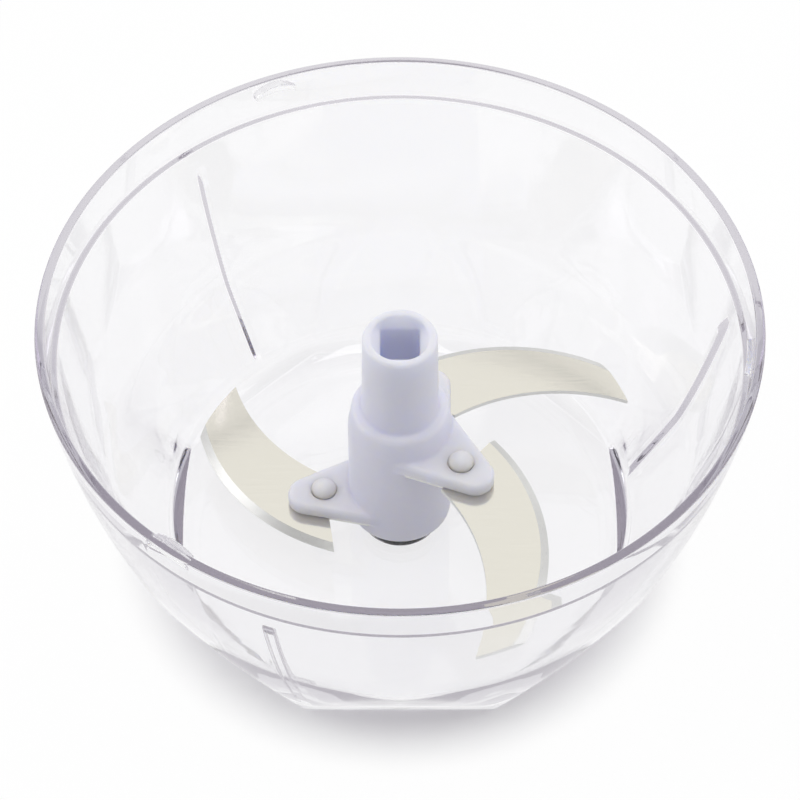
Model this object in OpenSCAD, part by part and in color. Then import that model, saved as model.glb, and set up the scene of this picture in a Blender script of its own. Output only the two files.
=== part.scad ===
// Pull-string food chopper: a clear bowl with its blade unit, and the lid taken off beside it.
// Millimetres, +Z up. The origin is the middle of the bowl's foot, on the table.
// The lid's pieces are drawn as worn, with z = 0 at the bowl's rim, and then turned over onto the table.

/* [Bowl] */
// Outer radius of the rim
rim_r = 70; // [66:0.5:76]
// Height of the bowl
bowl_h = 68; // [64:0.5:74]
// Radius of the foot, at its corners
foot_r = 50; // [47:0.5:53]
// How far the outer wall swells from a straight line
wall_swell = 2.9; // [2:0.1:4]
// Thickness of the side wall
wall_t = 2.2; // [1.8:0.1:3]
// Thickness of the floor
floor_t = 3; // [2.5:0.1:4]
// Radius of the corner between floor and wall
floor_fillet = 8; // [5:0.5:10]
// Flats around the foot
foot_flats = 8; // [7:1:10]
// How far the flats lean out, in degrees from upright
flat_lean = 28.8; // [27:0.1:31]
// Depth of the collar, from the rim to the ledge
collar_depth = 9; // [8:0.5:11]
// Width of the rim's top
rim_w = 2; // [1.7:0.1:2.4]
// How much the collar narrows down to the ledge
collar_draft = 0.4; // [0.2:0.1:0.6]
// Radius of the rim's soft edges
rim_round = 0.7; // [0.4:0.1:0.8]

/* [Lugs and ribs] */
// Length of a snap lug around the collar
lug_l = 8.8; // [7:0.2:11]
// Height of a snap lug, from the feet of its ends to the top of its arch
lug_h = 2.8; // [2.4:0.1:3]
// Height of a snap lug's blunt ends
lug_end = 1; // [0.6:0.1:1.2]
// Height of the arch below a snap lug
lug_dip = 0.9; // [0.4:0.1:1]
// How far a lug stands out of the collar
lug_reach = 1.4; // [1:0.1:1.7]
// Depth of the lugs' middle below the rim
lug_drop = 1.8; // [1.7:0.1:2.4]
// Direction of the first lug
lug_az = 112.5; // [100:0.5:125]
// Width of an inner rib
rib_w = 1.8; // [1.2:0.1:2.6]
// How far a rib stands out of the wall
rib_reach = 1.2; // [0.8:0.1:1.6]
// Height of the ribs' lower ends
rib_low = 9; // [7:0.5:14]
// Depth of the ribs' upper ends below the ledge
rib_drop = 6; // [4:0.5:10]
// Direction of the first rib
rib_az = 9; // [0:0.5:20]

/* [Pivot] */
// Radius of the pivot pin
pin_r = 2.5; // [2:0.1:3]
// Length of the pin above its boss
pin_l = 20; // [18:0.5:22]
// Length of the pin inside its boss
pin_sink = 4.5; // [3.5:0.1:5]
// Radius of the boss on the floor
boss_r = 8; // [7.2:0.1:9]
// Height of the boss above the floor
boss_h = 3; // [2.5:0.1:4]
// Wall of the bush on the pin
bush_wall = 1.45; // [1.1:0.05:1.8]
// Width of the bush's flange
bush_flange = 2.2; // [1.6:0.1:2.6]
// Thickness of the bush's flange
bush_flange_t = 1.2; // [0.8:0.1:1.6]
// Length of the bush's sleeve
bush_l = 17; // [14:0.5:17.5]

/* [Hub] */
// Radius of the hub's lower cylinder
hub_r = 10.5; // [10:0.05:10.8]
// How much the lower cylinder narrows above the top arm
hub_draft = 0.6; // [0.3:0.05:0.8]
// Radius of the column at its root
column_r = 7.7; // [7.3:0.05:8]
// How much the column narrows towards its top
column_draft = 0.3; // [0.1:0.05:0.5]
// Depth of the hub's top below the rim
hub_drop = 7; // [6.5:0.1:8.5]
// Height of the shoulder above the table
shoulder_z = 40; // [38.5:0.5:41]
// Radius of the shoulder's round edge
shoulder_round = 1.4; // [1:0.1:1.5]
// Radius of the column's top edge
top_round = 0.6; // [0.3:0.1:0.7]
// Width of the square socket
socket_w = 7.7; // [7.2:0.1:8]
// Depth of the square socket
socket_l = 14; // [13:0.5:18]
// Radius of the socket's lead-in at the top
lead_r = 5.8; // [5.6:0.1:6.2]
// Depth of the socket's lead-in
lead_h = 2.1; // [1.5:0.1:2.6]

/* [Blades] */
// Height of the top arm's upper face above the table
arm_z = 34.4; // [33.5:0.1:35.5]
// Step from one arm down to the next
arm_pitch = 9.8; // [9:0.1:10.2]
// Direction of the top arm
arm_az = -40; // [-60:1:-20]
// Turn from the top arm on to the middle arm
middle_turn = 110; // [98:1:122]
// Turn from the top arm on to the bottom arm
bottom_turn = 228; // [218:1:242]
// Thickness of an arm
arm_t = 3.5; // [2.8:0.1:4]
// Distance from the axis to the middle of an arm's round tip
arm_reach = 19.4; // [18.8:0.1:20.4]
// Radius of an arm's tip
arm_tip_r = 3.9; // [3.6:0.1:4.6]
// Soft edge of an arm
arm_edge = 0.6; // [0.3:0.1:0.9]
// Thickness of a blade
blade_t = 1; // [0.8:0.1:1.4]
// Radius of the ground edge, seen from above
edge_r = 42; // [41:0.5:43]
// Middle of the ground edge's arc, along the arm and across it
edge_mid = [8.46, -30.12];
// Radius of the blade's back, seen from above
back_r = 39.5; // [38.5:0.5:40.5]
// Middle of the back's arc, along the arm and across it
back_mid = [7.45, -44.27];
// Distance from the axis to the blade's root line
root_x = 15.4; // [14.8:0.2:16]
// How far the two lower blades are swept back on their stakes, in degrees
lower_sweep = 21.5; // [16:0.5:24]
// Width of the ground bevel
bevel_w = 1.6; // [1:0.1:2.2]
// Gap between a blade's tip and the bowl's wall
tip_gap = 5; // [3.5:0.1:7]
// Distance from the axis to a stake
stake_x = 15.8; // [15.4:0.1:17]
// Radius of a stake's shank
stake_r = 1.6; // [1.2:0.1:1.9]
// Radius of a stake's domed head
stake_head_r = 2.7; // [2.4:0.1:3]
// Height of a stake's domed head
stake_head_h = 2; // [1.2:0.1:2.3]
// Thickness of a stake's flat lower head
stake_foot_t = 0.9; // [0.6:0.1:1.2]

/* [Lid] */
// How far the lid's flange stands out past the rim
lid_over = 1; // [0.6:0.1:2]
// Wall of the lid's shells
lid_t = 2; // [1.6:0.1:2.4]
// Radius of the cover's round shoulder
lid_round = 16; // [13:0.5:17]
// Thickness of the flange
flange_t = 3; // [2.6:0.1:4]
// Gap between the skirt and the collar
skirt_gap = 0.4; // [0.2:0.1:0.6]
// Gap between the skirt's end and the ledge
ledge_gap = 0.5; // [0.3:0.1:1]
// Thickness of the seal
seal_t = 1.2; // [0.8:0.1:1.6]
// Room around a lug in its groove
groove_gap = 0.6; // [0.4:0.1:0.9]
// Turn that locks the lid
lock_turn = 18; // [12:1:24]
// Distance from the lid's axis to its screws
screw_ring = 56; // [54:0.5:58]
// Radius of a screw's shank
screw_r = 1.4; // [1.2:0.1:1.7]
// Radius of a screw's head
screw_head_r = 3; // [2.6:0.1:3.4]
// Height of a screw's head
screw_head_h = 1.8; // [1.4:0.1:2.2]
// Length of a screw's shank
screw_l = 14; // [10:0.5:18]
// Free table between the bowl and the lid
lid_apart = 21; // [15:1:40]

/* [Drive] */
// Radius of the coupler's round shaft
shaft_r = 6; // [5.8:0.1:6.6]
// Gap around the square end in its socket
square_gap = 0.25; // [0.15:0.05:0.4]
// How deep the square end enters the socket
square_l = 10; // [8:0.5:12]
// Wall of the coupler's bush
coupler_bush_t = 2; // [1.5:0.1:2.6]
// Flange of the coupler's bush, its width and its thickness
coupler_flange = [2, 1];
// Thickness of the ratchet cup's floor
cup_floor = 2; // [1.6:0.1:2.6]
// Depth of the ratchet cup
cup_depth = 4.2; // [3.6:0.1:5]
// Outer radius of the ratchet cup
cup_r = 14; // [13.5:0.1:15.5]
// Ratchet teeth in the cup
cup_teeth = 12; // [9:3:15]
// Height of a ratchet tooth
tooth_h = 1; // [0.8:0.1:1.2]

/* [Reel and cord] */
// Thickness of the cord
cord_d = 2; // [1.6:0.1:2.4]
// Turns of cord on the reel
cord_turns = 3; // [2:1:4]
// Gap between neighbouring turns
turn_gap = 0.45; // [0.42:0.01:0.7]
// Radius of the drum under the cord
drum_r = 13; // [12.4:0.1:14]
// Wall of the drum
drum_t = 1.5; // [1.2:0.1:1.8]
// How far the reel's flanges stand out past the drum
reel_flange = 5; // [4:0.1:6]
// Thickness of the reel's flanges
reel_flange_t = 1.5; // [1.2:0.1:2]
// Radius of the reel's axle
axle_r = 3.5; // [3:0.1:3.8]
// Turns of the recoil spring
spring_turns = 6; // [4:1:6]
// Thickness of the spring's band
spring_t = 0.35; // [0.25:0.05:0.4]
// Width of the spring's band
spring_w = 5; // [3.5:0.1:5.5]

/* [Handle] */
// Width of the grip bar
bar_w = 34; // [30:0.5:36]
// Height of the grip bar
bar_h = 15; // [13:0.5:16]
// Thickness of the grip bar
bar_t = 9.5; // [8.5:0.1:11]
// How far the grip stands out past the cover
bar_proud = 1.5; // [1:0.1:2]
// Room for fingers behind the grip, along the cord
finger_room = 13.4; // [12:0.1:15]
// Gap around the grip in its pocket
pocket_gap = 1; // [0.6:0.1:1.5]
// Radius of the grip's stem
stem_r = 4.5; // [4:0.1:5]
// Radius of the knot at the cord's end
knot_r = 1.7; // [1.5:0.1:2]

/* [Hidden] */
$fn = 96;

// Running clearance of a shaft in its bore, and the clearance of pieces that are pressed together
run_fit = 0.05;
press_fit = 0.02;
// Gap between curved faces that pass each other, and how far cuts and roots run past a face
pass_gap = 0.3;
over = 1;

// Colours
clear_plastic = [0.87, 0.88, 0.93, 0.45];
white_plastic = [0.93, 0.93, 0.97];
warm_plastic = [0.90, 0.88, 0.83];
steel = [0.80, 0.79, 0.76];
silicone = [0.80, 0.80, 0.84];
cord_white = [0.90, 0.89, 0.86];

// Bowl: the outer wall is one arc from the foot's corner to the rim
wall_chord = norm([rim_r - foot_r, bowl_h]);
wall_arc_r = arc_r(wall_chord, wall_swell);
wall_out = [bowl_h, foot_r - rim_r] / wall_chord;
wall_mid = [(rim_r + foot_r) / 2, bowl_h / 2] - wall_out * (wall_arc_r - wall_swell);
ledge_z = bowl_h - collar_depth;
foot_apothem = foot_r * cos(180 / foot_flats);
collar_top_r = rim_r - rim_w;
collar_low_r = collar_top_r - collar_draft;
boss_top = floor_t + boss_h;
function arc_x(r, z) = wall_mid[0] + sqrt(pow(r, 2) - pow(z - wall_mid[1], 2));
function cone_x(z) = foot_apothem - wall_t + z * tan(flat_lean);
function cavity_r(z) = min(cone_x(z), arc_x(wall_arc_r - wall_t, z));
function collar_r(z) = collar_top_r - collar_draft * (bowl_h - z) / collar_depth;
// Radius of an arc that rises over a chord, and points along an arc
function arc_r(chord, rise) = pow(chord, 2) / (8 * rise) + rise / 2;
function arc(mid, r, from, to, steps) =
    [for (i = [0:steps]) let (a = from + (to - from) * i / steps) mid + r * [cos(a), sin(a)]];

// Blade unit
bush_r = pin_r + run_fit + bush_wall;
hub_low = boss_top + bush_flange_t;
hub_top = bowl_h - hub_drop;
pin_top = boss_top + pin_l;
column_fillet = hub_r - hub_draft - shoulder_round - column_r;
arm_places = [[arm_az, arm_z, 0], [arm_az + middle_turn, arm_z - arm_pitch, lower_sweep],
    [arm_az + bottom_turn, arm_z - 2 * arm_pitch, lower_sweep]];
blade_land = 0.15;
arm_inset = 0.2;
blade_tuck = 1;

// Lid, as worn: z = 0 is the rim
lid_r = rim_r + lid_over;
side_step = 1;
side_r = lid_r - side_step;
skirt_r = collar_low_r - skirt_gap;
skirt_l = collar_depth - ledge_gap;
plate_t = lid_t;
groove_t = skirt_r - (collar_r(bowl_h - lug_drop) - lug_reach) + groove_gap / 2;
seal_over = 0.1;
seal_r = rim_r + seal_over;
lip_t = 1.5;
lip_h = 3;
screw_places = [for (i = [0:3]) [screw_ring * cos(45 + 90 * i), screw_ring * sin(45 + 90 * i)]];
screw_boss_t = 2.4;
screw_boss_r = screw_r + screw_boss_t;

// Drive, from the lid's plate upwards
square_w = socket_w - 2 * square_gap;
square_tip = 0.8;
shaft_gap = 0.5;
shaft_low = shaft_gap - hub_drop;
coupler_bush_low = shaft_low + shaft_gap;
coupler_bush_r = shaft_r + run_fit + coupler_bush_t;
cup_z = plate_t + coupler_flange[1];
cup_top = cup_z + cup_floor + cup_depth;
cup_wall = 2;
valley_r = cup_r - cup_wall;
reel_gap = 0.4;
reel_z = cup_top + reel_gap;
drum_z = reel_z + reel_flange_t;
cord_step = cord_d + turn_gap;
cord_seat = 0.1;
cord_y = drum_r + cord_seat + cord_d / 2;
coil_z = drum_z + pass_gap + cord_d / 2;
cord_z = coil_z + cord_turns * cord_step;
drum_top = cord_z + cord_d / 2 + pass_gap;
reel_top = drum_top + reel_flange_t;
spring_cover_t = 1;
axle_boss_h = 3.8;
head_gap = 0.6;
lid_h = reel_top + spring_cover_t + head_gap + axle_boss_h + lid_t;
axle_low = reel_z - pass_gap;
washer_t = 0.8;
washer_over = 2;
washer_r = axle_r + washer_over;
reel_screw_r = 1.5;
reel_screw_head = [3, 1.6];
sleeve_l = 4;
sleeve_t = 1.7;
spring_gap = 0.15;
spring_rise = 0.5;
pawl_gap = 0.6;
pawl_ring_t = 1.8;
tip_clear = 0.1;
finger_sink = 0.3;
pawl_low = cup_z + cup_floor + pawl_gap;
pawl_in = washer_r + pawl_gap;
pawl_out = pawl_in + pawl_ring_t;
pawl_tip = valley_r - tooth_h / 2 - tip_clear;
finger_t = 1.2;
finger_sweep = 80;
pawl_lag = 1;
tooth_lean = 0.2;

// Handle, beside the cord's line
cover_round_mid = [side_r - lid_round, lid_h - lid_round];
bar_in_r = side_r + bar_proud - bar_t;
bar_drop = 1.5;
bar_z = cord_z - bar_h / 2 - bar_drop;
grip_x = sqrt(pow(bar_in_r, 2) - pow(cord_y, 2));
pocket_x = grip_x - finger_room;
pocket_w = bar_w + 2 * pocket_gap;
guide_r = 3;
guide_gap = 0.4;
guide_bore = cord_d / 2 + guide_gap;
guide_flange = [4.4, 1];
stem_x = pocket_x + guide_flange[1];
stem_root = 2;
knot_seat = 3.2;
knot_room_x = grip_x + knot_seat;
knot_room_gap = 1.5;
knot_room_r = knot_r + knot_room_gap;
plug_t = 1.2;
lid_x = 2 * rim_r + lid_over + lid_apart;

// Bowl

module bowl_outer_profile() {
    lip_out = arc_x(wall_arc_r, bowl_h - rim_round) - rim_round;
    lip_in = collar_top_r + rim_round;
    intersection() {
        square([rim_r + over, bowl_h - rim_round]);
        translate(wall_mid) circle(wall_arc_r, $fn = 360);
    }
    for (x = [lip_in, lip_out]) translate([x, bowl_h - rim_round]) circle(rim_round, $fn = 32);
    translate([lip_in, bowl_h - 2 * rim_round]) square([lip_out - lip_in, 2 * rim_round]);
}

// The inside below the ledge; inset draws it smaller all round
module cavity_profile(inset = 0) {
    fillet_mid = [cone_x(floor_t) - floor_fillet * tan((90 - flat_lean) / 2), floor_t + floor_fillet];
    intersection() {
        translate([-inset, 0])
            polygon(concat([[0, floor_t]], arc(fillet_mid, floor_fillet, -90, -flat_lean, 8),
                [[cone_x(ledge_z + over), ledge_z + over], [0, ledge_z + over]]));
        translate(wall_mid) circle(wall_arc_r - wall_t - inset, $fn = 360);
        square([rim_r, bowl_h]);
    }
}

module collar_profile() {
    slope = collar_draft / collar_depth;
    mouth_z = bowl_h + over;
    polygon([[0, ledge_z], [collar_low_r, ledge_z], [collar_top_r + slope * over, mouth_z], [0, mouth_z]]);
}

// Flats of the foot, cut as leaning planes
module foot_cut() {
    reach = 2 * rim_r;
    difference() {
        children();
        for (i = [0:foot_flats - 1])
            rotate([0, 0, i * 360 / foot_flats])
                translate([0, -foot_apothem, 0])
                    rotate([flat_lean, 0, 0])
                        translate([-reach / 2, -reach, -reach / 2])
                            cube([reach, reach, 2 * reach]);
    }
}

// A lug arched like an eyebrow, seen from the bowl's axis
module lug() {
    z = bowl_h - lug_drop;
    top_r = arc_r(lug_l, lug_h - lug_end);
    low_r = arc_r(lug_l, lug_dip);
    intersection() {
        translate([collar_r(z) - 2 * lug_reach, 0, z - lug_h / 2]) rotate([90, 0, 90])
            linear_extrude(4 * lug_reach) difference() {
                intersection() {
                    translate([0, lug_h - top_r]) circle(r = top_r, $fn = 96);
                    translate([-lug_l / 2, -lug_h]) square([lug_l, 3 * lug_h]);
                }
                translate([0, lug_dip - low_r]) circle(r = low_r, $fn = 180);
            }
        translate([0, 0, z - lug_h])
            difference() {
                cylinder(r = collar_r(z) + rim_w / 3, h = 2 * lug_h);
                translate([0, 0, -over]) cylinder(r = collar_r(z) - lug_reach, h = 2 * lug_h + 2 * over);
            }
    }
}

module inner_rib() {
    intersection() {
        translate([0, -rib_w / 2, rib_low]) cube([rim_r, rib_w, ledge_z - rib_drop - rib_low]);
        rotate_extrude() difference() {
            cavity_profile(-wall_t / 2);
            cavity_profile(rib_reach);
        }
    }
}

module bowl() {
    color(clear_plastic) difference() {
        union() {
            difference() {
                foot_cut() rotate_extrude() bowl_outer_profile();
                rotate_extrude() cavity_profile();
                rotate_extrude() collar_profile();
            }
            cylinder(r = boss_r, h = boss_top);
            for (i = [0:2]) rotate([0, 0, lug_az + 120 * i]) lug();
            for (i = [0:2]) rotate([0, 0, rib_az + 120 * i]) inner_rib();
        }
        translate([0, 0, boss_top - pin_sink]) cylinder(r = pin_r + press_fit, h = pin_sink + over);
    }
}

module pivot_pin() {
    tip = pin_r / 3;
    color(steel) {
        translate([0, 0, boss_top - pin_sink]) cylinder(r = pin_r, h = pin_sink + pin_l - tip);
        translate([0, 0, pin_top - tip]) cylinder(r1 = pin_r, r2 = pin_r - tip, h = tip);
    }
}

module pin_bush() {
    color(warm_plastic) translate([0, 0, boss_top]) difference() {
        union() {
            cylinder(r = bush_r + bush_flange, h = bush_flange_t);
            cylinder(r = bush_r, h = bush_flange_t + bush_l);
        }
        translate([0, 0, -over]) cylinder(r = pin_r + run_fit, h = bush_flange_t + bush_l + 2 * over);
    }
}

// Blade unit

module hub_body() {
    low_edge = top_round;
    column_top_r = column_r - column_draft;
    draft_z = arm_z + pass_gap;
    rotate_extrude() polygon(concat(
        [[0, hub_low], [hub_r - low_edge, hub_low], [hub_r, hub_low + low_edge], [hub_r, draft_z]],
        arc([hub_r - hub_draft - shoulder_round, shoulder_z - shoulder_round], shoulder_round, 0, 90, 8),
        arc([column_r + column_fillet, shoulder_z + column_fillet], column_fillet, -90, -180, 6),
        arc([column_top_r - top_round, hub_top - top_round], top_round, 0, 90, 6),
        [[0, hub_top]]));
}

module soft_disc(r) {
    cylinder(r = r - arm_edge, h = arm_t, $fn = 32);
    translate([0, 0, arm_edge]) cylinder(r = r, h = arm_t - 2 * arm_edge, $fn = 32);
}

module arm() {
    hull() {
        soft_disc(hub_r - arm_inset);
        translate([arm_reach, 0, 0]) soft_disc(arm_tip_r);
    }
}

module stake_hole() {
    translate([stake_x, 0, -over]) cylinder(r = stake_r + press_fit, h = arm_t + 2 * over);
}

module blade_hub() {
    color(white_plastic) difference() {
        union() {
            hub_body();
            for (p = arm_places) rotate([0, 0, p[0]]) translate([0, 0, p[1] - arm_t]) arm();
        }
        for (p = arm_places) rotate([0, 0, p[0]]) translate([0, 0, p[1] - arm_t]) stake_hole();
        translate([0, 0, hub_low - over]) cylinder(r = bush_r + run_fit, h = over + bush_l + pass_gap);
        translate([0, 0, hub_low]) cylinder(r = pin_r + 2 * pass_gap, h = pin_top + over - hub_low);
        translate([-socket_w / 2, -socket_w / 2, hub_top - socket_l])
            cube([socket_w, socket_w, socket_l + over]);
        hull() {
            translate([-socket_w / 2, -socket_w / 2, hub_top - lead_h]) cube([socket_w, socket_w, over]);
            translate([0, 0, hub_top]) cylinder(r = lead_r, h = over, $fn = 48);
        }
    }
}

// Teardrop from the hub to the arm's tip
module teardrop(root, tip) {
    lean = acos((root - tip) / arm_reach);
    side = [cos(lean), sin(lean)];
    polygon([root * side, [arm_reach, 0] + tip * side, [arm_reach + tip * side[0], -tip * side[1]],
        [root * side[0], -root * side[1]]]);
    translate([arm_reach, 0]) circle(tip);
}

// Turns a blade back on its stake
module swept(sweep) {
    translate([stake_x, 0, 0]) rotate([0, 0, -sweep]) translate([-stake_x, 0, 0]) children();
}

// The crescent between the ground edge and the back, from the arm out to the tip
module crescent(tip_r, sweep) {
    intersection() {
        swept(sweep) difference() {
            translate(edge_mid) circle(r = edge_r, $fn = 180);
            translate(back_mid) circle(r = back_r, $fn = 180);
        }
        translate([root_x, -tip_r]) square([tip_r, 2 * tip_r]);
        circle(r = tip_r);
    }
}

// What the grinding takes off above the edge
module grinding() {
    slope = bevel_w / (blade_t - blade_land);
    translate([edge_mid[0], edge_mid[1], blade_land - over]) difference() {
        cylinder(r = edge_r + bevel_w, h = blade_t - blade_land + 2 * over, $fn = 180);
        cylinder(r1 = edge_r + slope * over, r2 = edge_r - bevel_w - slope * over,
            h = blade_t - blade_land + 2 * over, $fn = 180);
    }
}

// One blade along +X, its lower face at z = 0
module blade(tip_r, sweep) {
    difference() {
        union() {
            linear_extrude(blade_t) crescent(tip_r, sweep);
            linear_extrude(blade_t) teardrop(hub_r - blade_tuck, arm_tip_r - blade_tuck);
        }
        swept(sweep) grinding();
        translate([0, 0, -over]) cylinder(r = hub_r + run_fit, h = blade_t + 2 * over);
        stake_hole();
    }
}

module blade_at(i) {
    low_z = arm_places[i][1] - arm_t - blade_t;
    tip_r = cavity_r(low_z) - tip_gap;
    color(steel) rotate([0, 0, arm_places[i][0]]) translate([0, 0, low_z]) blade(tip_r, arm_places[i][2]);
}

module blade_top() blade_at(0);
module blade_middle() blade_at(1);
module blade_bottom() blade_at(2);

// One stake, its shoulder at z = 0 on the arm's upper face
module stake() {
    dome_r = arc_r(2 * stake_head_r, stake_head_h);
    grip = arm_t + blade_t;
    intersection() {
        translate([0, 0, stake_head_h - dome_r]) sphere(dome_r);
        cylinder(r = stake_head_r + over, h = stake_head_h + over);
    }
    translate([0, 0, -grip]) cylinder(r = stake_r, h = grip + stake_head_h / 2);
    translate([0, 0, -grip - stake_foot_t]) cylinder(r = stake_head_r, h = stake_foot_t);
}

module blade_stakes() {
    color(white_plastic) for (p = arm_places) rotate([0, 0, p[0]]) translate([stake_x, 0, p[1]]) stake();
}

// Lid

// Turns a piece drawn as worn over onto the table, beside the bowl
module laid_down() {
    translate([lid_x, 0, lid_h]) rotate([180, 0, 0]) children();
}

module ring(r_out, r_in, h) {
    difference() {
        cylinder(r = r_out, h = h);
        translate([0, 0, -over]) cylinder(r = r_in, h = h + 2 * over);
    }
}

// Groove for one lug: a way in from below and a run to turn along, closed half way from the lug to the rim
module lug_groove() {
    room = lug_l / 2 + groove_gap;
    half = asin(room / skirt_r);
    low = -lug_drop - lug_h / 2 - groove_gap;
    top = (lug_h / 2 - lug_drop) / 2;
    difference() {
        union() {
            rotate([0, 0, -half]) rotate_extrude(angle = 2 * half)
                translate([skirt_r / 2, -skirt_l - over]) square([skirt_r, skirt_l + over + top]);
            rotate([0, 0, -half]) rotate_extrude(angle = 2 * half + lock_turn)
                translate([skirt_r / 2, low]) square([skirt_r, top - low]);
        }
        translate([0, 0, -skirt_l - 2 * over]) cylinder(r = skirt_r - groove_t, h = skirt_l + 3 * over);
    }
}

module lid_base() {
    boss_low = coupler_bush_low;
    color(white_plastic) laid_down() difference() {
        union() {
            ring(lid_r, skirt_r - lip_t, flange_t);
            cylinder(r = skirt_r, h = plate_t);
            translate([0, 0, -skirt_l]) ring(skirt_r, skirt_r - lid_t, skirt_l + plate_t);
            ring(side_r - lid_t - pass_gap, side_r - lid_t - pass_gap - lip_t, flange_t + lip_h);
            translate([0, 0, boss_low]) cylinder(r = coupler_bush_r + lid_t, h = plate_t - boss_low);
        }
        translate([0, 0, -over]) ring(seal_r, skirt_r, seal_t + over);
        translate([0, 0, boss_low - over])
            cylinder(r = coupler_bush_r + press_fit, h = plate_t - boss_low + 2 * over);
        for (i = [0:2]) rotate([0, 0, -lug_az - 120 * i]) mirror([0, 1, 0]) lug_groove();
        for (p = screw_places)
            translate([p[0], p[1], -over]) cylinder(r = screw_r + pass_gap, h = plate_t + 2 * over);
    }
}

module lid_seal() {
    color(silicone) laid_down() ring(seal_r - press_fit, skirt_r + press_fit, seal_t);
}

// The cover's outline; grow makes it larger all round, or smaller
module cover_profile(grow, low) {
    mid = cover_round_mid;
    translate([0, low]) square([side_r + grow, mid[1] - low]);
    translate([0, low]) square([mid[0], lid_h + grow - low]);
    intersection() {
        translate(mid) circle(lid_round + grow);
        translate([mid[0] / 2, mid[1] - over]) square([lid_r, lid_h]);
    }
}

// Room for the grip, open outwards and upwards
module pocket(grow) {
    translate([pocket_x - grow, -cord_y - pocket_w / 2 - grow, bar_z - pocket_gap - grow])
        cube([lid_r, pocket_w + 2 * grow, lid_h]);
}

module along_cord(x) {
    translate([x, -cord_y, cord_z]) rotate([0, 90, 0]) children();
}

module lid_cover() {
    boss_top_z = lid_h - lid_t / 2;
    color(white_plastic) laid_down() difference() {
        union() {
            difference() {
                rotate_extrude() cover_profile(0, flange_t);
                difference() {
                    rotate_extrude() cover_profile(-lid_t, flange_t - over);
                    pocket(lid_t);
                }
            }
            translate([0, 0, lid_h - lid_t - axle_boss_h])
                cylinder(r = 2 * axle_r, h = axle_boss_h + lid_t / 2);
            intersection() {
                for (p = screw_places)
                    translate([p[0], p[1], plate_t]) cylinder(r = screw_boss_r, h = boss_top_z - plate_t);
                rotate_extrude() cover_profile(-lid_t / 2, plate_t);
            }
        }
        pocket(0);
        along_cord(pocket_x - lid_t - over) cylinder(r = guide_r + press_fit, h = lid_t + 2 * over);
        translate([0, 0, lid_h - lid_t - axle_boss_h - over])
            cylinder(r = axle_r + press_fit, h = axle_boss_h + over);
        for (p = screw_places)
            translate([p[0], p[1], plate_t - over])
                cylinder(r = screw_r + press_fit, h = screw_l - plate_t + 2 * over);
    }
}

// Cross recess in a screw's head, from its top face at z = 0 down
module cross_recess(r) {
    slot = [1.4 * r, 0.3 * r, 0.3 * r];
    for (turn = [0, 90]) rotate([0, 0, turn]) translate([-slot[0] / 2, -slot[1] / 2, -slot[2]])
        cube([slot[0], slot[1], slot[2] + over]);
}

// Pan-head screw driven upwards, its head's seat at z = 0
module pan_screw(r, length, head_r, head_h) {
    edge = head_h / 3;
    cylinder(r = r, h = length);
    mirror([0, 0, 1]) difference() {
        union() {
            cylinder(r = head_r, h = head_h - edge);
            translate([0, 0, head_h - edge]) cylinder(r1 = head_r, r2 = head_r - edge, h = edge);
        }
        translate([0, 0, head_h]) cross_recess(head_r);
    }
}

module cover_screws() {
    color(steel) laid_down() for (p = screw_places)
        translate([p[0], p[1], 0]) pan_screw(screw_r, screw_l, screw_head_r, screw_head_h);
}

module cord_guide() {
    color(warm_plastic) laid_down() difference() {
        union() {
            along_cord(pocket_x - lid_t - over) cylinder(r = guide_r, h = lid_t + over);
            along_cord(pocket_x) cylinder(r = guide_flange[0], h = guide_flange[1]);
        }
        along_cord(pocket_x - lid_t - 2 * over) cylinder(r = guide_bore, h = lid_t + 4 * over);
    }
}

module pull_handle() {
    color(white_plastic) laid_down() difference() {
        union() {
            difference() {
                intersection() {
                    rotate_extrude() cover_profile(bar_proud, 0);
                    translate([0, -cord_y - bar_w / 2, bar_z]) cube([lid_r + bar_proud, bar_w, bar_h]);
                }
                translate([0, 0, -over]) cylinder(r = bar_in_r, h = lid_h + 2 * over);
            }
            along_cord(stem_x) cylinder(r = stem_r, h = grip_x + stem_root - stem_x);
        }
        along_cord(stem_x - over) cylinder(r = cord_d / 2 + run_fit, h = lid_r);
        along_cord(knot_room_x) cylinder(r = knot_room_r, h = lid_r);
    }
}

module handle_plug() {
    color(white_plastic) laid_down()
        along_cord(knot_room_x + 2 * knot_r + press_fit) cylinder(r = knot_room_r - press_fit, h = plug_t);
}

module pull_cord() {
    start = 2 * pass_gap;
    color(cord_white) laid_down() {
        along_cord(start) cylinder(r = cord_d / 2, h = knot_room_x + knot_r - start);
        along_cord(knot_room_x + knot_r) sphere(knot_r - press_fit);
    }
}

// Turns of cord on the drum: one tube swept along a helix that ends at the cord's straight stretch
coil_steps = 24 * cord_turns;
coil_sides = 6;
function coil_turn(i) = -90 - 360 * cord_turns * (1 - i / coil_steps);
function coil_point(i, side) = let (
        a = coil_turn(i),
        s = 360 * (side + 0.5) / coil_sides,
        r = cord_y + cord_d / 2 * cos(s),
        z = coil_z + cord_step * cord_turns * i / coil_steps + cord_d / 2 * sin(s))
    [r * cos(a), r * sin(a), z];
echo("least gap between turns of the cord", cord_step - cord_d);

module cord_winding() {
    points = [for (i = [0:coil_steps]) for (s = [0:coil_sides - 1]) coil_point(i, s)];
    sides = [for (i = [0:coil_steps - 1]) for (s = [0:coil_sides - 1]) let (
            a = i * coil_sides + s,
            b = i * coil_sides + (s + 1) % coil_sides)
        each [[a, b, b + coil_sides], [a, b + coil_sides, a + coil_sides]]];
    ends = [for (s = [1:coil_sides - 2]) each [[0, s + 1, s],
        [coil_steps * coil_sides, coil_steps * coil_sides + s, coil_steps * coil_sides + s + 1]]];
    color(cord_white) laid_down() polyhedron(points, concat(sides, ends));
}

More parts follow.
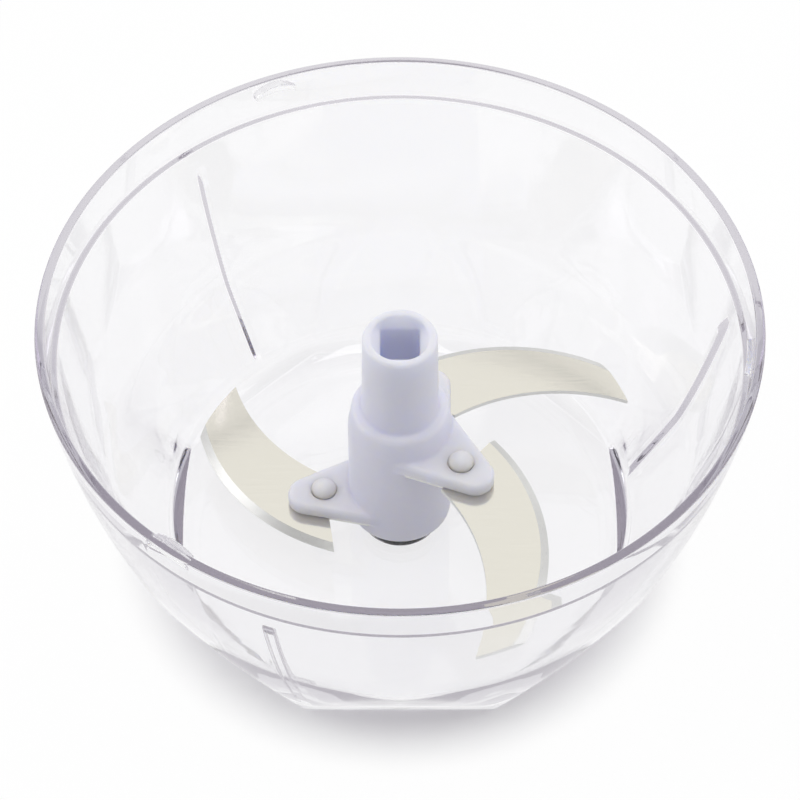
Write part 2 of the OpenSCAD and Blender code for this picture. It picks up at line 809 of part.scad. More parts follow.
module reel() {
    flange_r = drum_r + reel_flange;
    color(warm_plastic) laid_down() difference() {
        union() {
            translate([0, 0, reel_z]) cylinder(r = flange_r, h = reel_flange_t);
            translate([0, 0, reel_z]) ring(drum_r, drum_r - drum_t, reel_top - reel_z);
            translate([0, 0, drum_top]) ring(flange_r, drum_r - drum_t, reel_flange_t);
            translate([0, 0, reel_z]) cylinder(r = axle_r + sleeve_t, h = reel_flange_t + sleeve_l);
        }
        translate([0, 0, reel_z - over]) cylinder(r = axle_r + run_fit, h = lid_h);
    }
}

// Flat band wound in a spiral from the axle out to the drum's inner wall
module recoil_spring() {
    r_in = axle_r + spring_rise + pass_gap;
    r_out = drum_r - drum_t - spring_gap - spring_t / 2;
    steps = 20 * spring_turns;
    low = drum_z + sleeve_l + spring_rise;
    function spiral(i, side) = let (
            a = 360 * spring_turns * i / steps,
            r = r_in + (r_out - r_in) * i / steps + side * spring_t / 2)
        r * [cos(a), sin(a)];
    color(steel) laid_down() translate([0, 0, low]) linear_extrude(min(spring_w, reel_top - low - pass_gap))
        polygon(concat([for (i = [0:steps]) spiral(i, -1)], [for (i = [steps:-1:0]) spiral(i, 1)]));
}

module spring_cover() {
    color(warm_plastic) laid_down() translate([0, 0, reel_top])
        ring(drum_r + reel_flange / 2, axle_r + pass_gap, spring_cover_t);
}

// One springy finger that trails behind its tip
module pawl_finger() {
    steps = 10;
    root = pawl_out - finger_sink - finger_t / 2;
    function at(i, side) = let (
            a = -finger_sweep * (1 - i / steps),
            r = root + (pawl_tip - finger_t / 2 - root) * i / steps + side * finger_t / 2)
        r * [cos(a), sin(a)];
    polygon(concat([for (i = [0:steps]) at(i, 1)], [for (i = [steps:-1:0]) at(i, -1)]));
}

module pawl_ring() {
    color(steel) laid_down() translate([0, 0, pawl_low]) linear_extrude(reel_z - pawl_low) {
        difference() {
            circle(pawl_out);
            circle(pawl_in);
        }
        for (i = [0:2]) rotate(120 * i - pawl_lag) pawl_finger();
    }
}

module drive_coupler() {
    step = 360 / cup_teeth;
    tip = square_tip;
    half = square_w / 2;
    corner = norm([half, half]);
    teeth = [for (i = [0:cup_teeth - 1]) each [
        (valley_r - tooth_h) * [cos(step * i), sin(step * i)],
        (valley_r - tooth_h / 2) * [cos(step * (i + 0.5)), sin(step * (i + 0.5))],
        valley_r * [cos(step * (i + 1) - tooth_lean), sin(step * (i + 1) - tooth_lean)]]];
    color(white_plastic) laid_down() {
        translate([0, 0, cup_z]) cylinder(r = cup_r, h = cup_floor);
        translate([0, 0, cup_z + cup_floor]) linear_extrude(cup_depth) difference() {
            circle(cup_r);
            polygon(teeth);
        }
        translate([0, 0, shaft_low]) cylinder(r = shaft_r, h = cup_z - shaft_low);
        intersection() {
            translate([-half, -half, shaft_low - square_l]) cube([square_w, square_w, square_l]);
            union() {
                translate([0, 0, shaft_low - square_l + tip]) cylinder(r = square_w, h = square_l);
                translate([0, 0, shaft_low - square_l]) cylinder(r1 = corner - tip, r2 = corner, h = tip);
            }
        }
    }
}

module coupler_bush() {
    color(warm_plastic) laid_down() difference() {
        union() {
            translate([0, 0, coupler_bush_low])
                cylinder(r = coupler_bush_r, h = plate_t - coupler_bush_low);
            translate([0, 0, plate_t])
                cylinder(r = coupler_bush_r + coupler_flange[0], h = coupler_flange[1]);
        }
        translate([0, 0, coupler_bush_low - over]) cylinder(r = shaft_r + run_fit, h = lid_h);
    }
}

module reel_axle() {
    color(steel) laid_down() difference() {
        translate([0, 0, axle_low]) cylinder(r = axle_r, h = lid_h - lid_t - axle_low);
        translate([0, 0, axle_low - over]) cylinder(r = reel_screw_r + press_fit, h = sleeve_l + over);
    }
}

module reel_washer() {
    color(steel) laid_down() translate([0, 0, axle_low - washer_t])
        ring(washer_r, reel_screw_r + press_fit, washer_t);
}

module reel_screw() {
    color(steel) laid_down() translate([0, 0, axle_low - washer_t])
        pan_screw(reel_screw_r, washer_t + sleeve_l - spring_rise, reel_screw_head[0], reel_screw_head[1]);
}

bowl();
pivot_pin();
pin_bush();
blade_hub();
blade_top();
blade_middle();
blade_bottom();
blade_stakes();
lid_base();
lid_cover();
lid_seal();
cover_screws();
cord_guide();
pull_handle();
handle_plug();
pull_cord();
cord_winding();
reel();
recoil_spring();
spring_cover();
pawl_ring();
drive_coupler();
coupler_bush();
reel_axle();
reel_washer();
reel_screw();
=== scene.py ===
"""Looks of a pull-string food chopper: a clear bowl with its blade unit, and the lid laid beside it.

Shapes are written in millimetres and turned into metres by MM. The camera and the lamps are in metres.
"""

import math

import bpy
import numpy as np
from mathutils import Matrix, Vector


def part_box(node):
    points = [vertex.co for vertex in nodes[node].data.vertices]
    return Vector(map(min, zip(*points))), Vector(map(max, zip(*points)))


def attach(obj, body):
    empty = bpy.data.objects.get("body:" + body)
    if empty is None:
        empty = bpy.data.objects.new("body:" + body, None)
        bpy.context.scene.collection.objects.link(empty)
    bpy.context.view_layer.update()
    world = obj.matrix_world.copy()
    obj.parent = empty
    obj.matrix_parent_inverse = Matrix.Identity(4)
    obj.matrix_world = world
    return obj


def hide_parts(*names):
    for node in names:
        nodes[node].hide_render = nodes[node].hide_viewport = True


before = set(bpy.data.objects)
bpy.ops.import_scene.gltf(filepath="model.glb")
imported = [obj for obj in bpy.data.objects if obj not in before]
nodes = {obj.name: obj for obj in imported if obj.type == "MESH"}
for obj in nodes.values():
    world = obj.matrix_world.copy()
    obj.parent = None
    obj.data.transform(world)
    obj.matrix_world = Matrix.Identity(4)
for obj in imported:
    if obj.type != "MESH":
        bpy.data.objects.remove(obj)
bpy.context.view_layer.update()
scene = bpy.context.scene

MM = 0.001
TURN = 2 * math.pi

# Camera, fitted to the rim, the ledge, the column and the foot
CAMERA_AT = Vector((0, -0.3471, 0.4770))
CAMERA_TO = Vector((0, 0, 0.0415))
CAMERA_LENS = 126
CAMERA_SENSOR = 36

# Bowl
RIM_R = 70
BOWL_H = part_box("bowl")[1].z / MM
FOOT_R = 50
FOOT_FLATS = 8
FLAT_AZ = -90
FLAT_LEAN = math.radians(28.8)
FLAT_SOFT = 0.4
WALL_SWELL = 2.9
WALL_T = 2.2
WALL_SOFT = 0.3
FLOOR_T = 3
FLOOR_FILLET = 8
COLLAR_DEPTH = 9
COLLAR_TOP_R = 68
COLLAR_LOW_R = 67.6
RIM_ROUND = 0.4
SOFT_EDGE = 0.35
OUTER_INSET = 0.02
LUG_COUNT = 3
LUG_AZ = 112.5
LUG_L = 8.8
LUG_H = 2.8
LUG_END = 1
LUG_DIP = 0.9
LUG_REACH = 1.4
LUG_DROP = 1.8
LUG_SOFT = 0.3
RIB_COUNT = 3
RIB_AZ = 9
RIB_W = 1.8
RIB_REACH = 1.2
RIB_Z = (9, 53)
RIB_SOFT = 0.25
RIB_END = 1.2
RIB_LEAD = 0.3
BOSS_R = 8
BOSS_TOP = 6
PIN_HOLE_R = 2.52
PIN_HOLE_Z = 1.5
PIN_HOLE_ROUND = 0.1
FOOT_ROUND = 0.6
MIDDLE_R = 0.5

# Rows and columns of points on the bowl, in counts, millimetres and degrees, and the room that
# they leave beside edges
OUTER_ROWS = 40
OUTER_ROOM = 2
INNER_ROWS = 46
INNER_ROOM = 1
FILLET_ROWS = 8
LUG_ROWS = 18
LUG_ROW = 0.15
LUG_FIRST_ROW = 0.9
EDGE_STEP = 0.2
SIDE_STEP = 1.4
FLAT_STEP = 4
COLUMNS = 240
LUG_COLUMN = 0.2
LUG_SIDE = 21
RIB_COLUMN = 0.1
RIB_SIDE = 14

# Rounded corners: points on each, and the share of a side that one may take
ROUND_STEPS = 8
ROUND_SHARE = 0.49

# Hub: grain of its softened skin, and how often it is smoothed
HUB_VOXEL = 0.3
HUB_ROUNDS = 6

# Cord
CORD_R = 1
CORD_TURNS = 3
CORD_STEP = 2.45
CORD_COIL_R = 14.1
CORD_LEAVES = 0.25
KNOT_R = 1.66
CORD_TIP_R = 0.2
PLAIT_STRANDS = 6
PLAIT_CELL = 1.1
PLAIT_DEPTH = 0.1
CORD_SIDES = 24
CORD_RING = 0.25
STRAIGHT_RINGS = 264

# Looks: range that holds most of a noise, how level a blade's ground band and its face are, and the
# ray depth past which light caught in clear plastic is let by
NOISE_SPAN = (0.3, 0.7)
BAND_LEVEL = (0.90, 0.97)
CAUGHT_DEPTH = 4.5

# Floor, in metres: its size, how far it lies under the part, and where its painted shadow ring round the
# bowl and the lid fades out. The real shadow also shows inside that ring.
FLOOR_SIZE = 3.0
FLOOR_DROP = 0.0004
PAINTED_SHADOW_FADE = (0.046, 0.062)
FLOOR_FAR_WHITE = 0.97
FLOOR_THROUGH = 0.85

# Dome: heights between which it greys, its greys there, and where its pale back begins and ends
DOME_RISE = (0.1, 0.5)
DOME_GREY = (0.60, 0.18)
BACK_FADE = (-0.5, 0.3)
BACK_GREY = 0.95

# Lamps: name, place, point that they face and size in metres, and power in watts
LAMPS = [
    ("top", (0.05, -0.25, 1.0), (0.05, 0, 0), (0.5, 0.5), 2.0),
    ("left", (-0.75, 0.05, 0.45), (0, 0, 0.03), (0.4, 0.7), 1.2),
    ("right", (0.85, 0.05, 0.45), (0.05, 0, 0.03), (0.4, 0.7), 1.2),
]


# Node trees


def new_material(name):
    """A new material and its empty node tree."""
    mat = bpy.data.materials.new(name)
    mat.use_nodes = True
    mat.node_tree.nodes.clear()
    return mat, mat.node_tree


def add(tree, kind, inputs=None, **settings):
    """A new node; inputs are values or the sockets that feed them."""
    node = tree.nodes.new("ShaderNode" + kind)
    for key, value in settings.items():
        setattr(node, key, value)
    for key, value in (inputs or {}).items():
        if isinstance(value, bpy.types.NodeSocket):
            tree.links.new(value, node.inputs[key])
        else:
            node.inputs[key].default_value = value
    return node


def noise(tree, feature, stretch=(1, 1, 1), detail=3.0):
    """Noise from 0 to 1 whose patches measure about feature, in millimetres, times stretch."""
    place = add(tree, "TexCoord").outputs["Object"]
    scale = tuple(1 / (feature * MM * s) for s in stretch)
    mapped = add(tree, "Mapping", {"Vector": place, "Scale": scale})
    cloud = add(tree, "TexNoise", {"Vector": mapped.outputs[0], "Scale": 1.0, "Detail": detail})
    return cloud.outputs["Fac"]


def in_range(tree, value, given, wanted, way="LINEAR"):
    """A value brought from one range into another."""
    low, high = wanted
    ends = {"Value": value, "From Min": given[0], "From Max": given[1], "To Min": low, "To Max": high}
    return add(tree, "MapRange", ends, interpolation_type=way).outputs["Result"]


def reckon(tree, operation, first, second):
    """The outcome of one sum with two values."""
    return add(tree, "Math", {0: first, 1: second}, operation=operation).outputs[0]


def spread(tree, fac, low, high):
    """Noise turned into values from low to high."""
    return in_range(tree, fac, NOISE_SPAN, (low, high))


def blend(tree, fac, first, second):
    """A colour between two."""
    mixed = add(tree, "Mix", data_type="RGBA")
    tree.links.new(fac, mixed.inputs[0])
    for socket, value in ((mixed.inputs[6], first), (mixed.inputs[7], second)):
        if isinstance(value, bpy.types.NodeSocket):
            tree.links.new(value, socket)
        else:
            socket.default_value = (*value, 1)
    return mixed.outputs[2]


def bump(tree, fac, depth, strength=1.0, edge=0.0):
    """A normal for a skin that rises by depth and has edges rounded by edge, in millimetres."""
    skin = {"Height": fac, "Distance": depth * MM, "Strength": strength}
    if edge:
        skin["Normal"] = add(tree, "Bevel", {"Radius": edge * MM}, samples=6).outputs[0]
    return add(tree, "Bump", skin).outputs[0]


def finish_material(tree, shader, volume=None):
    """Joins the shader to the output."""
    out = add(tree, "OutputMaterial", {"Surface": shader})
    if volume is not None:
        tree.links.new(volume, out.inputs["Volume"])


# Materials


def clear_plastic():
    """Water-clear moulded plastic with faint ripples and rub marks, lilac grey where it is thick.

    Light caught inside the wall leaves it after a few turns, so that edges come out grey and not black.
    """
    mat, tree = new_material("clear_plastic")
    rub = noise(tree, 6, detail=6)
    ripple = noise(tree, 9, detail=1)
    body = add(tree, "BsdfPrincipled", {
        "Base Color": (0.985, 0.984, 0.992, 1),
        "Transmission Weight": 1.0,
        "IOR": 1.5,
        "Roughness": spread(tree, rub, 0.0, 0.05),
        "Normal": bump(tree, ripple, 0.03, 0.5),
    })
    passing = add(tree, "BsdfTransparent", {"Color": (0.74, 0.72, 0.755, 1)})
    rays = add(tree, "LightPath").outputs
    caught = reckon(tree, "GREATER_THAN", rays["Ray Depth"], CAUGHT_DEPTH)
    let_by = reckon(tree, "MAXIMUM", rays["Is Shadow Ray"], caught)
    mixed = add(tree, "MixShader", {0: let_by, 1: body.outputs[0], 2: passing.outputs[0]})
    tint = add(tree, "VolumeAbsorption", {"Color": (0.60, 0.585, 0.66, 1), "Density": 11.0})
    finish_material(tree, mixed.outputs[0], tint.outputs[0])
    return mat


def white_plastic():
    """Milky moulded plastic with a lilac tint and a fine satin grain."""
    mat, tree = new_material("white_plastic")
    cloud = noise(tree, 14)
    grain = noise(tree, 0.35, detail=2)
    body = add(tree, "BsdfPrincipled", {
        "Base Color": blend(tree, cloud, (0.77, 0.77, 0.87), (0.81, 0.81, 0.91)),
        "Roughness": spread(tree, noise(tree, 3), 0.30, 0.42),
        "IOR": 1.49,
        "Subsurface Weight": 0.85,
        "Subsurface Radius": (0.8, 0.9, 1.3),
        "Subsurface Scale": 4.0 * MM,
        "Normal": bump(tree, grain, 0.02, 0.35, edge=0.4),
    })
    finish_material(tree, body.outputs[0])
    return mat


def natural_plastic():
    """Undyed bearing plastic, slightly waxy."""
    mat, tree = new_material("natural_plastic")
    body = add(tree, "BsdfPrincipled", {
        "Base Color": blend(tree, noise(tree, 8), (0.78, 0.75, 0.68), (0.83, 0.80, 0.73)),
        "Roughness": spread(tree, noise(tree, 2), 0.38, 0.52),
        "Subsurface Weight": 0.2,
        "Subsurface Radius": (1.0, 0.9, 0.8),
        "Subsurface Scale": 1.0 * MM,
        "Normal": bump(tree, noise(tree, 0.4), 0.02, 0.4, edge=0.25),
    })
    finish_material(tree, body.outputs[0])
    return mat


def blade_steel():
    """Polished stainless sheet with a matt ground band where the face slopes down to the edge."""
    mat, tree = new_material("blade_steel")
    upright = add(tree, "SeparateXYZ", {0: add(tree, "NewGeometry").outputs["Normal"]}).outputs["Z"]
    level = add(tree, "Math", {0: upright}, operation="ABSOLUTE").outputs[0]
    ground = in_range(tree, level, BAND_LEVEL, (1.0, 0.0))
    polish = noise(tree, 1.2, stretch=(6, 0.25, 1), detail=4)
    grit = noise(tree, 0.18, stretch=(0.6, 3, 1), detail=3)
    face = spread(tree, polish, 0.09, 0.17)
    band = spread(tree, grit, 0.26, 0.40)
    rough = add(tree, "Mix", {0: ground, 2: face, 3: band}, data_type="FLOAT").outputs[0]
    skin = add(tree, "Mix", {0: ground, 2: polish, 3: grit}, data_type="FLOAT").outputs[0]
    sheet = blend(tree, polish, (0.80, 0.775, 0.69), (0.85, 0.825, 0.745))
    body = add(tree, "BsdfPrincipled", {
        "Base Color": blend(tree, ground, sheet, (0.70, 0.70, 0.68)),
        "Metallic": 1.0,
        "Roughness": rough,
        "Normal": bump(tree, skin, 0.006, 0.4),
    })
    finish_material(tree, body.outputs[0])
    return mat


def plain_steel():
    """Drawn steel with fine lines and a dull polish."""
    mat, tree = new_material("plain_steel")
    lines = noise(tree, 0.5, stretch=(1, 1, 8), detail=4)
    body = add(tree, "BsdfPrincipled", {
        "Base Color": blend(tree, noise(tree, 5), (0.56, 0.56, 0.56), (0.64, 0.635, 0.62)),
        "Metallic": 1.0,
        "Roughness": spread(tree, lines, 0.20, 0.36),
        "Normal": bump(tree, lines, 0.008, 0.4, edge=0.15),
    })
    finish_material(tree, body.outputs[0])
    return mat


def silicone():
    """Soft pale sealing rubber."""
    mat, tree = new_material("silicone")
    body = add(tree, "BsdfPrincipled", {
        "Base Color": blend(tree, noise(tree, 10), (0.62, 0.62, 0.66), (0.68, 0.68, 0.72)),
        "Roughness": spread(tree, noise(tree, 1.5), 0.5, 0.65),
        "Subsurface Weight": 0.25,
        "Subsurface Radius": (1.0, 1.0, 1.0),
        "Subsurface Scale": 1.0 * MM,
        "Normal": bump(tree, noise(tree, 0.6), 0.03, 0.4),
    })
    finish_material(tree, body.outputs[0])
    return mat


def cord_fibre():
    """Undyed plaited polyester: fine fibres along the strands, with painted shade greying the hollows of
    the fibre bump.
    """
    mat, tree = new_material("cord")
    fibre = noise(tree, 0.12, stretch=(3, 1, 1), detail=4)
    # A greyer tone that varies at random. It is put as painted shade into the low parts of the fibre bump,
    # and the raised parts get the light tone.
    hollow_shade_tone = blend(tree, noise(tree, 4), (0.72, 0.705, 0.67), (0.80, 0.79, 0.76))
    body = add(tree, "BsdfPrincipled", {
        "Base Color": blend(tree, fibre, hollow_shade_tone, (0.84, 0.83, 0.80)),
        "Roughness": spread(tree, fibre, 0.7, 0.9),
        "Sheen Weight": 0.25,
        "Normal": bump(tree, fibre, 0.03, 0.6),
    })
    finish_material(tree, body.outputs[0])
    return mat


MATERIALS = {
    "clear_plastic": clear_plastic(),
    "white_plastic": white_plastic(),
    "natural_plastic": natural_plastic(),
    "blade_steel": blade_steel(),
    "plain_steel": plain_steel(),
    "silicone": silicone(),
    "cord": cord_fibre(),
}


# Meshes


def new_piece(name, mesh, slot, body, *stands_for):
    """A smooth piece that rides on a body and stands for CAD nodes."""
    for polygon in mesh.polygons:
        polygon.use_smooth = True
    mesh.materials.clear()
    mesh.materials.append(MATERIALS[slot])
    piece = bpy.data.objects.new(name, mesh)
    scene.collection.objects.link(piece)
    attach(piece, body)
    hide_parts(*stands_for)
    return piece


def grid_mesh(name, rows):
    """A closed skin over rows of points, each a ring, with its two ends drawn to one point."""
    across = len(rows[0])
    points = [p for row in rows for p in row]
    ends = [sum((Vector(p) for p in row), Vector()) / across for row in (rows[0], rows[-1])]
    first, last = len(points), len(points) + 1
    faces = []
    for j in range(across):
        k = (j + 1) % across
        for i in range(len(rows) - 1):
            faces.append((i * across + j, i * across + k, (i + 1) * across + k, (i + 1) * across + j))
        faces.append((first, k, j))
        faces.append(((len(rows) - 1) * across + j, (len(rows) - 1) * across + k, last))
    mesh = bpy.data.meshes.new(name)
    mesh.from_pydata([Vector(p) * MM for p in points + ends], [], faces)
    mesh.validate()
    return mesh


def even_normals(mesh):
    """Normals weighed by the areas of the faces, so that flat parts stay flat beside small rounds."""
    normals = np.zeros((len(mesh.vertices), 3))
    for polygon in mesh.polygons:
        for corner in polygon.vertices:
            normals[corner] += np.array(polygon.normal) * polygon.area
    normals /= np.maximum(np.linalg.norm(normals, axis=1), 1e-20)[:, None]
    mesh.normals_split_custom_set_from_vertices(normals)


def rounded(corners):
    """An outline through (r, z, radius) corners, each rounded by its radius."""
    points = []
    for i, (r, z, radius) in enumerate(corners):
        here = Vector((r, z))
        if radius == 0 or i in (0, len(corners) - 1):
            points.append(here)
            continue
        before = Vector(corners[i - 1][:2]) - here
        after = Vector(corners[i + 1][:2]) - here
        turn = math.pi - before.angle(after)
        reach = min(radius * math.tan(turn / 2), ROUND_SHARE * min(before.length, after.length))
        a = here + before.normalized() * reach
        b = here + after.normalized() * reach
        for k in range(ROUND_STEPS + 1):
            t = k / ROUND_STEPS
            points.append(a * (1 - t) ** 2 + here * 2 * t * (1 - t) + b * t ** 2)
    return points


def filled_in(points, step):
    """The same outline with points at most step apart."""
    out = [points[0]]
    for a, b in zip(points, points[1:]):
        count = max(1, math.ceil((b - a).length / step))
        out += [a + (b - a) * k / count for k in range(1, count + 1)]
    return out


def ease(x):
    """A smooth step from 0 to 1."""
    x = min(max(x, 0.0), 1.0)
    return x * x * (3 - 2 * x)


def lesser(a, b, soft):
    """The lesser of two values, with a soft change from one to the other."""
    return (a + b - math.hypot(a - b, soft)) / 2


def off_angle(angle, middle, count):
    """Angle from the nearest of count directions, in degrees."""
    step = 360 / count
    return (angle - middle + step / 2) % step - step / 2


# Bowl

CHORD = math.hypot(RIM_R - FOOT_R, BOWL_H)
WALL_R = CHORD ** 2 / (8 * WALL_SWELL) + WALL_SWELL / 2
WALL_WAY = Vector((BOWL_H, FOOT_R - RIM_R)) / CHORD
WALL_MID = Vector(((RIM_R + FOOT_R) / 2, BOWL_H / 2)) - WALL_WAY * (WALL_R - WALL_SWELL)
FOOT_APOTHEM = FOOT_R * math.cos(math.pi / FOOT_FLATS)
RIM_SEAM_R = (RIM_R + COLLAR_TOP_R) / 2
LEDGE_Z = BOWL_H - COLLAR_DEPTH
LUG_Z = BOWL_H - LUG_DROP


def wall_r(z, inset=0.0):
    """Radius of the wall's arc."""
    return WALL_MID.x + math.sqrt((WALL_R - inset) ** 2 - (z - WALL_MID.y) ** 2)


def cavity_r(z):
    """Radius of the inside below the ledge."""
    return lesser(FOOT_APOTHEM - WALL_T + z * math.tan(FLAT_LEAN), wall_r(z, WALL_T), WALL_SOFT)


def foot_share(angle, z):
    """How far the flats of the foot draw the wall in."""
    off = math.radians(off_angle(angle, FLAT_AZ, FOOT_FLATS))
    flat = (FOOT_APOTHEM + z * math.tan(FLAT_LEAN)) / math.cos(off)
    return lesser(wall_r(z), flat, FLAT_SOFT) / wall_r(z)


def collar_r(z):
    """Radius of the collar above the ledge."""
    return COLLAR_TOP_R + (COLLAR_LOW_R - COLLAR_TOP_R) * (BOWL_H - z) / COLLAR_DEPTH


def lug_arch(side, rise):
    """Height of an arch as long as a lug, over its ends."""
    r = LUG_L ** 2 / (8 * rise) + rise / 2
    return math.sqrt(r ** 2 - side ** 2) - (r - rise)


def lug_rise(angle, z):
    """How far a snap lug, arched like an eyebrow, stands in from the collar."""
    side = COLLAR_TOP_R * math.radians(off_angle(angle, LUG_AZ, LUG_COUNT))
    within = LUG_L / 2 - abs(side)
    if within < -LUG_SOFT:
        return 0.0
    up = z - LUG_Z + LUG_H / 2
    below_top = LUG_END + lug_arch(side, LUG_H - LUG_END) - up
    above_dip = up - lug_arch(side, LUG_DIP)
    return LUG_REACH * ease(min(within, below_top, above_dip) / LUG_SOFT + 0.5)


def rib_rise(angle, r, z):
    """How far an inner rib stands in from the wall."""
    side = abs(r * math.radians(off_angle(angle, RIB_AZ, RIB_COUNT)))
    ends = ease((z - RIB_Z[0] + RIB_LEAD) / RIB_END) * ease((RIB_Z[1] - z + RIB_LEAD) / RIB_END)
    return RIB_REACH * ends * ease((RIB_W / 2 - side + RIB_SOFT) / (2 * RIB_SOFT))


def bowl_angles():
    """Directions of the columns of points, closer together at the lugs and the ribs."""
    angles = {round(i * 360 / COLUMNS, 3) for i in range(COLUMNS)}
    lugs = (LUG_AZ, LUG_COUNT, LUG_COLUMN, LUG_SIDE)
    ribs = (RIB_AZ, RIB_COUNT, RIB_COLUMN, RIB_SIDE)
    for first, count, column, side in (lugs, ribs):
        for k in range(count):
            middle = first + 360 * k / count
            angles |= {round((middle + column * j) % 360, 3) for j in range(-side, side + 1)}
    return sorted(angles)


def outer_outline():
    """The outside's (r, z) points, from the middle of the foot up to the rim's top."""
    span = BOWL_H - 2 * OUTER_ROOM
    heights = [OUTER_ROOM + span * i / OUTER_ROWS for i in range(OUTER_ROWS + 1)]
    foot = [(MIDDLE_R, 0, 0), (FOOT_R, 0, FOOT_ROUND)]
    wall = [(wall_r(z, OUTER_INSET), z, 0) for z in heights]
    rim_r = wall_r(BOWL_H - OUTER_ROOM / 2, OUTER_INSET)
    outside = rounded([*foot, *wall, (rim_r, BOWL_H, RIM_ROUND), (RIM_SEAM_R, BOWL_H, 0)])
    return filled_in(outside, FLAT_STEP)


def inner_wall():
    """Corners of the inside from below the ledge down to the floor, with its fillet."""
    low = FLOOR_T + FLOOR_FILLET * (1 - math.sin(FLAT_LEAN))
    span = LEDGE_Z - 2 * INNER_ROOM - low
    heights = [LEDGE_Z - INNER_ROOM - span * i / INNER_ROWS for i in range(INNER_ROWS + 1)]
    wall = [(cavity_r(z), z, 0) for z in heights]
    middle = Vector((wall[-1][0] - FLOOR_FILLET * math.cos(FLAT_LEAN), FLOOR_T + FLOOR_FILLET))
    fillet = []
    for i in range(1, FILLET_ROWS + 1):
        a = -FLAT_LEAN - (math.pi / 2 - FLAT_LEAN) * i / FILLET_ROWS
        fillet.append((middle.x + FLOOR_FILLET * math.cos(a), middle.y + FLOOR_FILLET * math.sin(a), 0))
    return wall + fillet


def inner_outline():
    """The inside's (r, z) points, from the rim's top down to the middle of the pin's hole."""
    heights = [LUG_Z + LUG_FIRST_ROW - LUG_ROW * i for i in range(LUG_ROWS)]
    rim = [(RIM_SEAM_R, BOWL_H, 0), (COLLAR_TOP_R, BOWL_H, RIM_ROUND)]
    collar = [(collar_r(z), z, 0) for z in heights]
    ledge = [(COLLAR_LOW_R, LEDGE_Z, SOFT_EDGE), (cavity_r(LEDGE_Z), LEDGE_Z, SOFT_EDGE)]
    boss = [(BOSS_R, FLOOR_T, SOFT_EDGE), (BOSS_R, BOSS_TOP, SOFT_EDGE)]
    hole_edge = (PIN_HOLE_R, BOSS_TOP, PIN_HOLE_ROUND)
    hole = [hole_edge, (PIN_HOLE_R, PIN_HOLE_Z, 0), (MIDDLE_R, PIN_HOLE_Z, 0)]
    inside = rounded([*rim, *collar, *ledge, *inner_wall(), *boss, *hole])
    collar_at = next(i for i, (r, z) in enumerate(inside) if z < LUG_Z)
    floor_at = next(i for i, (r, z) in enumerate(inside) if r < BOSS_R + INNER_ROOM)
    edge = filled_in(inside[1:collar_at], EDGE_STEP)
    side = filled_in(inside[collar_at:floor_at], SIDE_STEP)
    return edge + side + filled_in(inside[floor_at:], FLAT_STEP)


def inner_rise(angle, r, z):
    """How far the lugs and the ribs stand in from a point of the inside."""
    if z > LEDGE_Z + INNER_ROOM:
        return lug_rise(angle, z)
    if FLOOR_T + INNER_ROOM < z < LEDGE_Z - INNER_ROOM and r > BOSS_R + INNER_ROOM:
        return rib_rise(angle, r, z)
    return 0.0


def turned(r, angle, z):
    """The point at a radius, a direction in degrees and a height."""
    a = math.radians(angle)
    return r * math.cos(a), r * math.sin(a), z


def make_bowl():
    """The clear bowl with its flats, ledge, lugs, ribs and boss."""
    angles = bowl_angles()
    rows = []
    for r, z in outer_outline():
        rows.append([turned(r * foot_share(a, z), a, z) for a in angles])
    for r, z in inner_outline():
        rows.append([turned(r - inner_rise(a, r, z), a, z) for a in angles])
    piece = new_piece("bowl_clear", grid_mesh("bowl_clear", rows), "clear_plastic", "bowl", "bowl")
    even_normals(piece.data)


# Moulded pieces with soft edges


def soft_copy(name, node, slot, body, voxel, rounds):
    """A CAD node's solid as one skin whose edges are softened, as a mould leaves them."""
    piece = bpy.data.objects.new(name, nodes[node].data.copy())
    scene.collection.objects.link(piece)
    skin = piece.modifiers.new("skin", "REMESH")
    skin.mode = "VOXEL"
    skin.voxel_size = voxel * MM
    soften = piece.modifiers.new("soften", "SMOOTH")
    soften.factor = 0.5
    soften.iterations = rounds
    ready = piece.evaluated_get(bpy.context.evaluated_depsgraph_get())
    mesh = bpy.data.meshes.new_from_object(ready)
    bpy.data.objects.remove(piece)
    mesh.name = name
    return new_piece(name, mesh, slot, body, node)


# Cord


def plait(length, around):
    """Height of a plaited cord's skin from 0 to 1, at a length along it and a share of a turn round it."""
    one = length / PLAIT_CELL + PLAIT_STRANDS * around
    other = length / PLAIT_CELL - PLAIT_STRANDS * around
    over = (math.floor(one) + math.floor(other)) % 2
    return math.sin(math.pi * ((one if over else other) % 1))


def cord_mesh(name, path, girth):
    """A plaited tube along path; girth gives its radius at a length."""
    rows = []
    length = 0.0
    for i, here in enumerate(path):
        along = (path[min(i + 1, len(path) - 1)] - path[max(i - 1, 0)]).normalized()
        side = along.cross(Vector((0, 0, 1))).normalized()
        up = side.cross(along)
        if i:
            length += (here - path[i - 1]).length
        row = []
        for k in range(CORD_SIDES):
            share = k / CORD_SIDES
            r = girth(length) * (1 - PLAIT_DEPTH + PLAIT_DEPTH * plait(length, share))
            row.append(here + r * (side * math.cos(TURN * share) + up * math.sin(TURN * share)))
        rows.append(row)
    return grid_mesh(name, rows)


